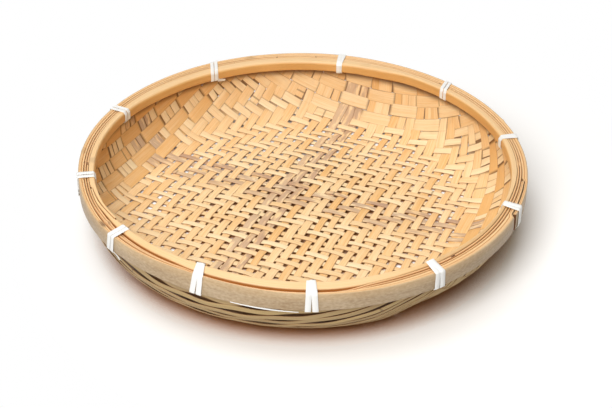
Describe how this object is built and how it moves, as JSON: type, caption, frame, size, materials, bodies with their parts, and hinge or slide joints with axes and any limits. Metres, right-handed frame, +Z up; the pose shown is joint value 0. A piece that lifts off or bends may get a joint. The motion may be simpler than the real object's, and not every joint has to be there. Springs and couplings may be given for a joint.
{
  "type": "bamboo tray basket",
  "caption": "Round shallow tray woven from split bamboo, its turned-up edge gripped between two bent hoops and bound with pairs of white plastic band, for serving or draining food.",
  "frame": {"origin": "on the table under the middle of the tray", "axes": "+Z up out of the tray, -Y towards the front of the picture"},
  "size_m": [0.2998, 0.3007, 0.0463],
  "materials": {
    "warp_split": "split bamboo, golden, dry and matt",
    "weft_split": "split bamboo, pale cream, dry and matt",
    "hoop_skin": "bent bamboo with its grey-beige skin outwards, satin",
    "hoop_core": "bent bamboo, planed smooth, satin",
    "tie_band": "white flat plastic band, soft sheen"
  },
  "bodies": {
    "root": {"inner_filler": "hoop_core", "inner_hoop": "hoop_core", "outer_filler": "hoop_core", "outer_hoop": "hoop_skin", "tie_01": "tie_band", "tie_02": "tie_band", "tie_03": "tie_band", "tie_04": "tie_band", "tie_05": "tie_band", "tie_06": "tie_band", "tie_07": "tie_band", "tie_08": "tie_band", "tie_09": "tie_band", "tie_10": "tie_band", "tie_11": "tie_band", "warp_strips_01": "warp_split", "warp_strips_02": "warp_split", "warp_strips_03": "warp_split", "warp_strips_04": "warp_split", "warp_strips_05": "warp_split", "warp_strips_06": "warp_split", "warp_strips_07": "warp_split", "warp_strips_08": "warp_split", "warp_strips_09": "warp_split", "warp_strips_10": "warp_split", "warp_wall_strip_01": "warp_split", "warp_wall_strip_02": "warp_split", "warp_wall_strip_03": "warp_split", "warp_wall_strip_04": "warp_split", "warp_wall_strip_05": "warp_split", "warp_wall_strip_06": "warp_split", "warp_wall_strip_07": "warp_split", "warp_wall_strip_08": "warp_split", "warp_wall_strip_09": "warp_split", "warp_wall_strip_10": "warp_split", "warp_wall_strip_11": "warp_split", "warp_wall_strip_12": "warp_split", "weft_strips_01": "weft_split", "weft_strips_02": "weft_split", "weft_strips_03": "weft_split", "weft_strips_04": "weft_split", "weft_strips_05": "weft_split", "weft_strips_06": "weft_split", "weft_strips_07": "weft_split", "weft_strips_08": "weft_split", "weft_strips_09": "weft_split", "weft_strips_10": "weft_split", "weft_strips_11": "weft_split", "weft_wall_strip_01": "weft_split", "weft_wall_strip_02": "weft_split", "weft_wall_strip_03": "weft_split", "weft_wall_strip_04": "weft_split", "weft_wall_strip_05": "weft_split", "weft_wall_strip_06": "weft_split", "weft_wall_strip_07": "weft_split", "weft_wall_strip_08": "weft_split", "weft_wall_strip_09": "weft_split", "weft_wall_strip_10": "weft_split"}
  },
  "joints": []
}
